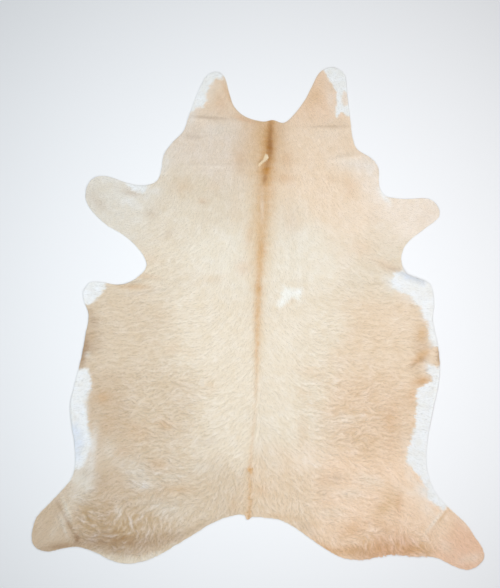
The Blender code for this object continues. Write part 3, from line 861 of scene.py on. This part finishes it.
def hair_root_material():
    """What shows between the hairs: their roots, painted darker than their tips as painted shade from the
    hair over them.
    """
    material, tree, shader = new_material("hair roots")
    coat = node(tree, "ShaderNodeAttribute", attribute_name="coat").outputs["Color"]
    place = node(tree, "ShaderNodeTexCoord").outputs["Object"]
    grain = node(tree, "ShaderNodeTexNoise", {"Vector": place, "Scale": 260.0, "Detail": 3.0}).outputs["Fac"]
    shade = node(tree, "ShaderNodeMapRange", {"Value": grain, "To Min": 0.8, "To Max": 1.05})
    shaded = node(tree, "ShaderNodeVectorMath", {0: coat, 1: shade.outputs["Result"]}, operation="MULTIPLY")
    tree.links.new(shaded.outputs[0], shader.inputs["Base Color"])
    bump = node(tree, "ShaderNodeBump", {"Height": grain, "Strength": 0.5, "Distance": 0.002})
    tree.links.new(bump.outputs["Normal"], shader.inputs["Normal"])
    shader.inputs["Roughness"].default_value = 0.9
    return material


def suede_material():
    """The flesh side: a short even nap, paler where it is rubbed."""
    material, tree, shader = new_material("suede")
    place = node(tree, "ShaderNodeTexCoord").outputs["Object"]
    rubbed = {"Vector": place, "Scale": 7.0, "Detail": 5.0, "Roughness": 0.6}
    blotch = node(tree, "ShaderNodeTexNoise", rubbed)
    nap = node(tree, "ShaderNodeTexNoise", {"Vector": place, "Scale": 900.0, "Detail": 2.0})
    shade = node(tree, "ShaderNodeValToRGB", {"Fac": blotch.outputs["Fac"]})
    shade.color_ramp.elements[0].color = (*SUEDE_DARK, 1)
    shade.color_ramp.elements[0].position = 0.3
    shade.color_ramp.elements[1].color = (*SUEDE_PALE, 1)
    shade.color_ramp.elements[1].position = 0.7
    tree.links.new(shade.outputs["Color"], shader.inputs["Base Color"])
    bump = node(tree, "ShaderNodeBump", {"Height": nap.outputs["Fac"], "Strength": 0.4, "Distance": 0.0006})
    tree.links.new(bump.outputs["Normal"], shader.inputs["Normal"])
    shader.inputs["Roughness"].default_value = 0.95
    return material


def add_bake_map(mesh, two_sided=False):
    """A flat map from above, named OFBake. A two-sided mesh has its lower side beside the upper one."""
    uv = mesh.uv_layers.new(name="OFBake")
    corners = np.empty(len(mesh.loops), np.int32)
    mesh.loops.foreach_get("vertex_index", corners)
    flat = (positions(mesh)[corners, :2] - box_low) / (box_high - box_low)
    if two_sided:
        sides = np.empty(len(mesh.polygons) * 3, np.float32)
        mesh.polygons.foreach_get("normal", sides)
        counts = np.empty(len(mesh.polygons), np.int32)
        mesh.polygons.foreach_get("loop_total", counts)
        under = np.repeat(sides.reshape(-1, 3)[:, 2] < 0, counts)
        flat[:, 0] = (flat[:, 0] + under) / 2
    uv.data.foreach_set("uv", flat.astype(np.float32).ravel())


surface = skin_surface("skin surface")
thickness = surface.modifiers.new("thickness", "SOLIDIFY")
thickness.thickness = SKIN_THICKNESS
thickness.offset = 1.0
thickness.material_offset = 1
thickness.material_offset_rim = 1
surface.data.materials.append(hair_root_material())
surface.data.materials.append(suede_material())
skin = settled(surface, "skin")
# The roots take the coat's colour in painted shade.
add_colours(skin.data, "coat", PAINTED_ROOT_SHADE * coat_colour(positions(skin.data)[:, :2]))
add_bake_map(skin.data, two_sided=True)
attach(skin, "root")
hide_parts("hide")

# The hair
# Some hundred hairs lie together as a lock, and each lock here is one thin bent blade that tapers to its
# tip. The locks stand in their follicles over the whole skin, bend over at once and lie along the flow.
Field = namedtuple("Field", "name pitch low high")
FIELDS = (
    Field("neck_hair", 0.0035, (-1.2, 0.70), (1.2, 1.3)),
    Field("shoulder_hair", 0.0036, (-1.2, 0.20), (1.2, 0.70)),
    Field("left_side_hair", 0.0039, (-1.2, -0.40), (0.0, 0.20)),
    Field("right_side_hair", 0.0039, (0.0, -0.40), (1.2, 0.20)),
    Field("left_haunch_hair", 0.0041, (-1.2, -1.3), (0.0, -0.40)),
    Field("right_haunch_hair", 0.0041, (0.0, -1.3), (1.2, -0.40)),
)
JITTER = 0.42  # of the pitch
CLEAR_OF_EDGE = 0.0003  # no lock is rooted nearer to the cut edge
LOCK_WIDTH = 0.0030
WIDTHS = (0.7, 1.3)  # from the thinnest lock to the thickest, of that width
LENGTHS = (0.75, 1.2)  # from the shortest lock to the longest, of the flow's length
PILE_HEIGHT = 0.0035  # the tips lie about this high over the skin
PILE_RAGGED = (-0.5, 0.4)  # how much lower and higher they lie in loose hair, of that height
ROOT_DEPTH = 0.0008  # how deep in the skin a lock starts
STRAY = 0.14  # how far locks stray from their heading, in radians
ROLL = 0.18  # how far loose locks lie rolled to one side, in radians
STEER = 0.35  # how far the locks lean towards the ridge of their wisp
STEER_LIMIT = math.radians(28)
OVERHANG = 0.0015  # how far the tips reach past the cut edge
CURLS_HANG_OVER = 5  # how many times further they reach on the crest of a wisp, for each wave over 1
MOST_OVERHANG = 1.5  # waves over 1, past which they reach no further
LEVEL_ENOUGH = 0.05  # a lock that heads for the edge less than this keeps its length
WISP_HEIGHT = 0.0015
WISP_TILT = 0.05
# The locks between the wisps are darker and browner: partly the hair's own tone, partly painted shade where
# the wisps part.
WISP_TONE_AND_PAINTED_SHADE = 0.04
DEEPEST_WISP = 1.8  # past this the browner tone and painted shade between the wisps is no deeper
CURL_TONE_AND_PAINTED_SHADE = 0.055  # how much deeper the browner tone and painted shade between the wisps are, where they curl
LOCK_SHADE = 0.035
BLOTCH_SHADE = 0.03
DARK_IS_WARM = np.array([0.6, 1.0, 1.8])  # a darker lock is browner, a lighter one is greyer
SHOWN_AT = 0.45  # of its length: the part of a lock that shows, which has the colour of that place
WHITE_IS_CALM = 0.45  # light that a coat soaks up, below which its locks differ less
CALMEST = 0.2  # how much the whitest locks still differ
CLOSEST = 0.3  # how loose the sleekest hair is, where wavy hair is 1
CURL = 0.0035  # how far the tips wander to the side


def hair_material():
    """Each lock has its own tone, and is painted a little darker at its root: painted shade from the locks
    over it.
    """
    material, tree, shader = new_material("hair")
    tone = node(tree, "ShaderNodeAttribute", attribute_name="tone").outputs["Color"]
    along = node(tree, "ShaderNodeAttribute", attribute_name="along").outputs["Fac"]
    place = node(tree, "ShaderNodeTexCoord").outputs["Object"]
    # painted shade: darker towards the root, where the locks over it shade it
    shade = node(tree, "ShaderNodeMapRange", {"Value": along, "To Min": 0.90, "To Max": 1.03})
    grain = node(tree, "ShaderNodeTexNoise", {"Vector": place, "Scale": 700.0, "Detail": 2.0}).outputs["Fac"]
    fine = node(tree, "ShaderNodeMapRange", {"Value": grain, "To Min": 0.94, "To Max": 1.06})
    factors = {0: shade.outputs["Result"], 1: fine.outputs["Result"]}
    both = node(tree, "ShaderNodeMath", factors, operation="MULTIPLY").outputs[0]
    shaded = node(tree, "ShaderNodeVectorMath", {0: tone, 1: both}, operation="MULTIPLY")
    tree.links.new(shaded.outputs[0], shader.inputs["Base Color"])
    shader.inputs["Roughness"].default_value = 0.6
    shader.inputs["Specular IOR Level"].default_value = 0.3
    return material


def lock_object():
    """One lock along +X, 1 m long and 1 m wide until it is scaled: a blade from the root to a pointed tip."""
    mesh = bpy.data.meshes.new("lock")
    root = [(0.0, -0.36, 0.0), (0.0, 0.36, 0.0)]
    bend = [(0.5, -0.50, 0.10), (0.5, 0.50, 0.10)]
    tip = [(1.0, 0.0, 0.06)]
    points = root + bend + tip
    mesh.from_pydata(points, [], [(0, 2, 3, 1), (2, 4, 3)])
    along = mesh.attributes.new("along", "FLOAT", "POINT")
    along.data.foreach_set("value", [point[0] for point in points])
    lock = bpy.data.objects.new("lock", mesh)
    bpy.context.scene.collection.objects.link(lock)
    return lock


def follicles(field, seed):
    """Places in the skin where the locks of a field are rooted: a lattice, shaken."""
    random = np.random.default_rng(seed)
    row_height = field.pitch * math.sqrt(3) / 2
    low = np.maximum(field.low, cut_edge.min(0))
    high = np.minimum(field.high, cut_edge.max(0))
    x, y = np.meshgrid(np.arange(low[0], high[0], field.pitch), np.arange(low[1], high[1], row_height))
    x[1::2] += field.pitch / 2
    places = np.stack([x, y], axis=-1).reshape(-1, 2)
    places += random.uniform(-JITTER, JITTER, places.shape) * field.pitch
    return places[read_chart(edge_depth, places) > CLEAR_OF_EDGE]


def trimmed(length, places, heading, overhang):
    """The lengths of the locks, cut short where a tip would hang out past the cut edge."""
    outward = -(read_chart(inward, places) * heading).sum(-1)
    room = (read_chart(edge_depth, places) + overhang) / np.maximum(outward, LEVEL_ENOUGH)
    return np.where(outward > LEVEL_ENOUGH, np.minimum(length, room), length)


def comb(places, seed):
    """What each lock of these places is like: where its root is, its turn, its size and its tone."""
    random = np.random.default_rng(seed)
    count = len(places)
    arrow, length, wave = flow_at(places)
    slope = read_chart(wisp_slope, places)
    crest = eased(0.5 + 0.5 * read_chart(wisps, places))
    calm = np.clip((1 - coat_colour(places).min(-1)) / WHITE_IS_CALM, CALMEST, 1)
    swell = np.minimum(wave, WAVIEST) * calm
    loose = np.clip(wave, CLOSEST, 1) * calm  # sleek hair lies closer together than wavy hair

    steer = np.clip(STEER * swell * (slope * left_of(arrow)).sum(-1), -STEER_LIMIT, STEER_LIMIT)
    steer += random.normal(0, STRAY, count)
    heading = unit(turned(arrow, steer))
    side = left_of(heading)
    length = length * random.uniform(*LENGTHS, count)
    overhang = OVERHANG * (1 + CURLS_HANG_OVER * crest * np.clip(wave - 1, 0, MOST_OVERHANG))
    length = trimmed(length, places, heading, overhang)

    under_root = skin_lift(places)
    rise = (skin_lift(places + length[:, None] * heading) - under_root) / length
    rise += PILE_HEIGHT * (1 + loose * random.uniform(*PILE_RAGGED, count)) / length
    tilt = (skin_lift(places + LOCK_WIDTH * side) - under_root) / LOCK_WIDTH
    tilt += WISP_TILT * swell * (slope * side).sum(-1)
    roll = np.arctan(tilt) + random.normal(0, ROLL, count) * loose
    turn = np.column_stack([roll, -np.arctan(rise), np.arctan2(heading[:, 1], heading[:, 0])])
    size = np.column_stack([length, LOCK_WIDTH * random.uniform(*WIDTHS, count), length])
    height = under_root + SKIN_THICKNESS - ROOT_DEPTH + WISP_HEIGHT * swell * crest

    shown = places + SHOWN_AT * length[:, None] * heading
    # Darker between the wisps: partly the hair's own browner tone, partly painted shade in the gaps, deepest
    # where they curl.
    wisp = np.clip(read_chart(wisps, shown) - CURL_TONE_AND_PAINTED_SHADE * wave, -DEEPEST_WISP, DEEPEST_WISP)
    shade = WISP_TONE_AND_PAINTED_SHADE * wave * calm * wisp
    shade += LOCK_SHADE * loose * random.normal(0, 1, count)
    shade += BLOTCH_SHADE * (clouds(places, 0.028, 61) + 0.6 * clouds(places, 0.011, 62))
    tone = coat_colour(shown) * np.exp(shade[:, None] * DARK_IS_WARM)
    return np.column_stack([places, height]), turn, size, np.clip(tone, 0.01, 0.95)


def hair_tree(lock, material):
    """Puts a lock on every point as the point says, makes them real, and lets their tips wander."""
    tree = bpy.data.node_groups.new("hair", "GeometryNodeTree")
    tree.interface.new_socket("Geometry", in_out="INPUT", socket_type="NodeSocketGeometry")
    curl_input = tree.interface.new_socket("Curl", in_out="INPUT", socket_type="NodeSocketFloat")
    tree.interface.new_socket("Geometry", in_out="OUTPUT", socket_type="NodeSocketGeometry")

    def stored(name, kind):
        attribute = node(tree, "GeometryNodeInputNamedAttribute", {"Name": name}, data_type=kind)
        return attribute.outputs["Attribute"]

    entry = node(tree, "NodeGroupInput")
    rotation = node(tree, "FunctionNodeEulerToRotation", {"Euler": stored("turn", "FLOAT_VECTOR")})
    shape = node(tree, "GeometryNodeObjectInfo", {"Object": lock})
    placed = node(tree, "GeometryNodeInstanceOnPoints", {
        "Points": entry.outputs["Geometry"],
        "Instance": shape.outputs["Geometry"],
        "Rotation": rotation.outputs["Rotation"],
        "Scale": stored("size", "FLOAT_VECTOR"),
    })
    real = node(tree, "GeometryNodeRealizeInstances", {"Geometry": placed.outputs["Instances"]})
    place = node(tree, "GeometryNodeInputPosition").outputs["Position"]
    gusts = node(tree, "ShaderNodeTexNoise", {"Vector": place, "Scale": 55.0, "Detail": 2.0}).outputs["Color"]
    centred = node(tree, "ShaderNodeVectorMath", {0: gusts, 1: (0.5, 0.5, 0.5)}, operation="SUBTRACT")
    spread = {0: centred.outputs[0], 1: (2.0, 2.0, 0.0)}  # to every side, but neither up nor down
    level = node(tree, "ShaderNodeVectorMath", spread, operation="MULTIPLY").outputs[0]
    nearer_tip = {0: stored("along", "FLOAT"), 1: entry.outputs["Curl"]}
    reach = node(tree, "ShaderNodeMath", nearer_tip, operation="MULTIPLY").outputs[0]
    offset = node(tree, "ShaderNodeVectorMath", {0: level, "Scale": reach}, operation="SCALE").outputs[0]
    moved = node(tree, "GeometryNodeSetPosition", {"Geometry": real.outputs["Geometry"], "Offset": offset})
    finish = {"Geometry": moved.outputs["Geometry"], "Material": material}
    covered = node(tree, "GeometryNodeSetMaterial", finish)
    node(tree, "NodeGroupOutput", {"Geometry": covered.outputs["Geometry"]})
    return tree, curl_input.identifier


def grow(name, roots, turn, size, tone):
    """The hair of one field, as one mesh."""
    mesh = bpy.data.meshes.new(name + "_roots")
    mesh.from_pydata(roots.tolist(), [], [])
    for attribute, values in (("turn", turn), ("size", size)):
        layer = mesh.attributes.new(attribute, "FLOAT_VECTOR", "POINT")
        layer.data.foreach_set("vector", values.astype(np.float32).ravel())
    add_colours(mesh, "tone", tone)
    points = bpy.data.objects.new(name + "_roots", mesh)
    bpy.context.scene.collection.objects.link(points)
    hair = points.modifiers.new("hair", "NODES")
    hair.node_group = hair_growth
    hair[curl_socket] = CURL
    return settled(points, name)


lock = lock_object()
hair_growth, curl_socket = hair_tree(lock, hair_material())
for seed, field in enumerate(FIELDS, start=101):
    roots, turn, size, tone = comb(follicles(field, seed), seed + 50)
    piece = grow(field.name, roots, turn, size, tone)
    add_bake_map(piece.data)
    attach(piece, "root")
bpy.data.objects.remove(lock)

# The floor
# A plain pale floor, just under the hide.
FLOOR_SIZE = 14.0
FLOOR_COLOUR = (0.80, 0.81, 0.832)
FLOOR_DROP = 0.0005


def add_floor():
    half = FLOOR_SIZE / 2
    mesh = bpy.data.meshes.new("floor")
    corners = ((-half, -half), (half, -half), (half, half), (-half, half))
    mesh.from_pydata([(x, y, -FLOOR_DROP) for x, y in corners], [], [(0, 1, 2, 3)])
    floor = bpy.data.objects.new("floor", mesh)
    bpy.context.scene.collection.objects.link(floor)
    material, _, shader = new_material("floor")
    shader.inputs["Base Color"].default_value = (*FLOOR_COLOUR, 1)
    shader.inputs["Roughness"].default_value = 0.9
    mesh.materials.append(material)
    return floor


add_floor()

# The light
# Two large soft lamps side by side over the hide, the left one cooler, and a pale room round them.
Lamp = namedtuple("Lamp", "name x colour")
LAMPS = (
    Lamp("left lamp", -0.75, (0.92, 0.975, 1.0)),
    Lamp("right lamp", 0.95, (1.0, 0.975, 0.96)),
)
LAMP_WIDTH = 1.7
LAMP_LENGTH = 3.4
LAMP_Y = -0.02
LAMP_HEIGHT = 2.33
LAMP_POWER = 48.0
ROOM_LIGHT = (0.96, 0.98, 1.0)
ROOM_STRENGTH = 0.23


def add_lamp(lamp):
    """One of the soft lamps, which the camera doesn't see."""
    light = bpy.data.lights.new(lamp.name, "AREA")
    light.shape = "RECTANGLE"
    light.size = LAMP_WIDTH
    light.size_y = LAMP_LENGTH
    light.energy = LAMP_POWER
    light.color = lamp.colour
    holder = bpy.data.objects.new(lamp.name, light)
    holder.location = (lamp.x, LAMP_Y, LAMP_HEIGHT)
    holder.visible_camera = False
    bpy.context.scene.collection.objects.link(holder)


for lamp in LAMPS:
    add_lamp(lamp)
room = bpy.data.worlds.new("room")
room.use_nodes = True
room.node_tree.nodes["Background"].inputs["Color"].default_value = (*ROOM_LIGHT, 1)
room.node_tree.nodes["Background"].inputs["Strength"].default_value = ROOM_STRENGTH
bpy.context.scene.world = room
bpy.context.scene.view_settings.view_transform = "Standard"

# The camera
# It looks straight down on the hide, with the head end at the top.
LENS = 85.0
SENSOR = 36.0
VIEW_HEIGHT = 2.814  # of the floor, in metres
VIEW_MIDDLE = (-0.0385, 0.1165)

camera = bpy.data.cameras.new("camera")
camera.lens = LENS
camera.sensor_width = SENSOR
camera_object = bpy.data.objects.new("camera", camera)
camera_object.location = (*VIEW_MIDDLE, VIEW_HEIGHT * LENS / SENSOR)
bpy.context.scene.collection.objects.link(camera_object)
bpy.context.scene.camera = camera_object
